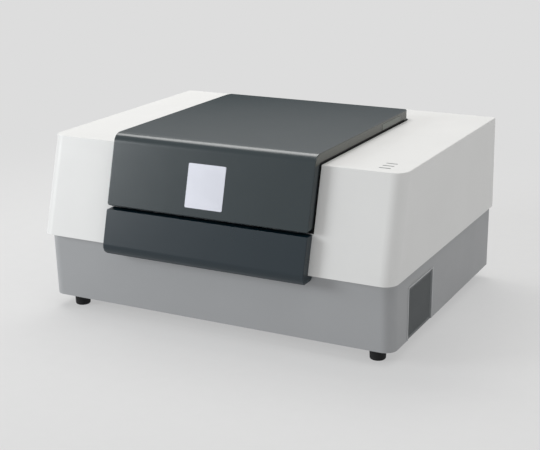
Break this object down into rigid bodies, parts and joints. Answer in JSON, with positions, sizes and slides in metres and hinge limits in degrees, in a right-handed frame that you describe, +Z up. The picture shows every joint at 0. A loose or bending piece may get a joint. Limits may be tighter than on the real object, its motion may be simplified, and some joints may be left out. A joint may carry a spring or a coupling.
{
  "type": "fluorescence imager",
  "caption": "Bench-top fluorescence imager: grey base on rubber feet, white sloping housing, hinged dark lid over a glass stage, XY scanning head inside.",
  "frame": {"origin": "centre of the footprint, on the surface that the rubber feet stand on", "axes": "+X to the right along the width as seen from the front, +Y to the back, +Z up"},
  "size_m": [0.58, 0.4678, 0.288],
  "materials": {
    "base_casing": "fine texture",
    "bottom_plate": "powder coat",
    "rubber_feet": "matt",
    "foot_screws": "zinc plated",
    "bottom_screws": "zinc plated",
    "upper_housing": "fine texture",
    "front_panel": "fine texture",
    "panel_screws": "zinc plated",
    "lid_shell": "fine texture",
    "lid_plate": "satin anodised",
    "lid_liner": "matt black",
    "liner_screws": "blackened",
    "hinge_caps": "fine texture",
    "hinge_leaves": "satin",
    "hinge_brackets": "matt black",
    "hinge_pins": "ground",
    "hinge_screws": "zinc plated",
    "chamber_tub": "matt black",
    "bracket_screws": "blackened",
    "lid_gasket": "closed-cell foam",
    "stage_deck": "black anodised",
    "stage_glass": "polished, coated",
    "crossmembers": "milled",
    "guide_rods": "ground",
    "gantry_beam": "black anodised",
    "gantry_bushings": "sintered bronze",
    "gantry_belt": "toothed",
    "gantry_motor": "black with bare ends",
    "motor_bracket": "folded sheet",
    "idler_bracket": "folded sheet",
    "gantry_drive_pulley": "turned",
    "gantry_idler": "turned",
    "head_rail": "ground",
    "head_motor": "black",
    "head_drive_pulley": "turned",
    "head_idler": "turned",
    "head_belt": "toothed",
    "head_carriage": "clear anodised",
    "head_body": "black anodised",
    "objective_barrel": "black anodised",
    "objective_glass": "coated",
    "filter_wheel": "black anodised",
    "emission_filters": "coated",
    "filter_motor": "plated can",
    "detector_module": "matt black",
    "excitation_module": "black anodised fins",
    "side_vent": "fine texture",
    "indicator_windows": "frosted",
    "indicator_board": "solder mask",
    "rear_panel": "powder coat",
    "rear_screws": "blackened",
    "power_entry": "moulded",
    "inlet_pins": "nickel plated",
    "power_rocker": "moulded",
    "data_socket": "plated shell",
    "fan_frame": "moulded",
    "fan_rotor": "moulded",
    "fan_guard": "black wire",
    "power_supply": "plated sheet",
    "control_board": "solder mask"
  },
  "bodies": {
    "housing": {"base_casing": "base_casing", "bottom_plate": "bottom_plate", "rubber_feet": "rubber_feet", "foot_screws": "foot_screws", "bottom_screws": "bottom_screws", "upper_housing": "upper_housing", "front_panel": "front_panel", "panel_screws": "panel_screws", "hinge_brackets": "hinge_brackets", "hinge_pins": "hinge_pins", "chamber_tub": "chamber_tub", "bracket_screws": "bracket_screws", "lid_gasket": "lid_gasket", "stage_deck": "stage_deck", "stage_glass": "stage_glass", "crossmembers": "crossmembers", "guide_rods": "guide_rods", "gantry_belt": "gantry_belt", "gantry_motor": "gantry_motor", "motor_bracket": "motor_bracket", "idler_bracket": "idler_bracket", "side_vent": "side_vent", "indicator_windows": "indicator_windows", "indicator_board": "indicator_board", "rear_panel": "rear_panel", "rear_screws": "rear_screws", "power_entry": "power_entry", "inlet_pins": "inlet_pins", "data_socket": "data_socket", "fan_frame": "fan_frame", "fan_guard": "fan_guard", "power_supply": "power_supply", "control_board": "control_board"},
    "lid": {"lid_shell": "lid_shell", "lid_plate": "lid_plate", "lid_liner": "lid_liner", "liner_screws": "liner_screws", "hinge_caps": "hinge_caps", "hinge_leaves": "hinge_leaves", "hinge_screws": "hinge_screws"},
    "gantry": {"gantry_beam": "gantry_beam", "gantry_bushings": "gantry_bushings", "head_rail": "head_rail", "head_motor": "head_motor", "head_belt": "head_belt"},
    "scan_head": {"head_carriage": "head_carriage", "head_body": "head_body", "objective_barrel": "objective_barrel", "objective_glass": "objective_glass", "filter_motor": "filter_motor", "detector_module": "detector_module", "excitation_module": "excitation_module"},
    "filter_wheel": {"filter_wheel": "filter_wheel", "emission_filters": "emission_filters"},
    "gantry_drive_pulley": {"gantry_drive_pulley": "gantry_drive_pulley"},
    "gantry_idler": {"gantry_idler": "gantry_idler"},
    "head_drive_pulley": {"head_drive_pulley": "head_drive_pulley"},
    "head_idler": {"head_idler": "head_idler"},
    "fan_rotor": {"fan_rotor": "fan_rotor"},
    "power_rocker": {"power_rocker": "power_rocker"}
  },
  "joints": [
    {"name": "lid_hinge", "type": "hinge", "parent": "housing", "child": "lid", "pos_m": [0, 0.1579, 0.28], "axis": [-1, 0, 0], "range_deg": [0, 75]},
    {"name": "gantry_travel", "type": "slide", "parent": "housing", "child": "gantry", "axis": [0, -1, 0], "range_m": [0, 0.216]},
    {"name": "head_travel", "type": "slide", "parent": "gantry", "child": "scan_head", "axis": [1, 0, 0], "range_m": [0, 0.216]},
    {"name": "filter_wheel_turn", "type": "hinge", "parent": "scan_head", "child": "filter_wheel", "pos_m": [-0.108, 0.0709, 0.107], "axis": [0, 0, 1], "continuous": true},
    {"name": "gantry_drive_turn", "type": "hinge", "parent": "housing", "child": "gantry_drive_pulley", "pos_m": [-0.195, 0.1599, 0.12], "axis": [1, 0, 0], "continuous": true},
    {"name": "gantry_idler_turn", "type": "hinge", "parent": "housing", "child": "gantry_idler", "pos_m": [-0.195, -0.1661, 0.12], "axis": [1, 0, 0], "continuous": true},
    {"name": "head_drive_turn", "type": "hinge", "parent": "gantry", "child": "head_drive_pulley", "pos_m": [0.14, 0.1579, 0.107], "axis": [0, 0, 1], "continuous": true},
    {"name": "head_idler_turn", "type": "hinge", "parent": "gantry", "child": "head_idler", "pos_m": [-0.14, 0.1579, 0.107], "axis": [0, 0, 1], "continuous": true},
    {"name": "fan_turn", "type": "hinge", "parent": "housing", "child": "fan_rotor", "pos_m": [0.06, 0.2069, 0.073], "axis": [0, 1, 0], "continuous": true},
    {"name": "power_rocker_tilt", "type": "hinge", "parent": "housing", "child": "power_rocker", "pos_m": [-0.19, 0.2249, 0.073], "axis": [-1, 0, 0], "range_deg": [0, 20]}
  ],
  "couplings": [
    {"joint": "gantry_drive_turn", "follows": "gantry_travel", "rad_per_m": 112.36},
    {"joint": "gantry_idler_turn", "follows": "gantry_travel", "rad_per_m": 112.36},
    {"joint": "head_drive_turn", "follows": "head_travel", "rad_per_m": 169.49},
    {"joint": "head_idler_turn", "follows": "head_travel", "rad_per_m": 169.49}
  ]
}
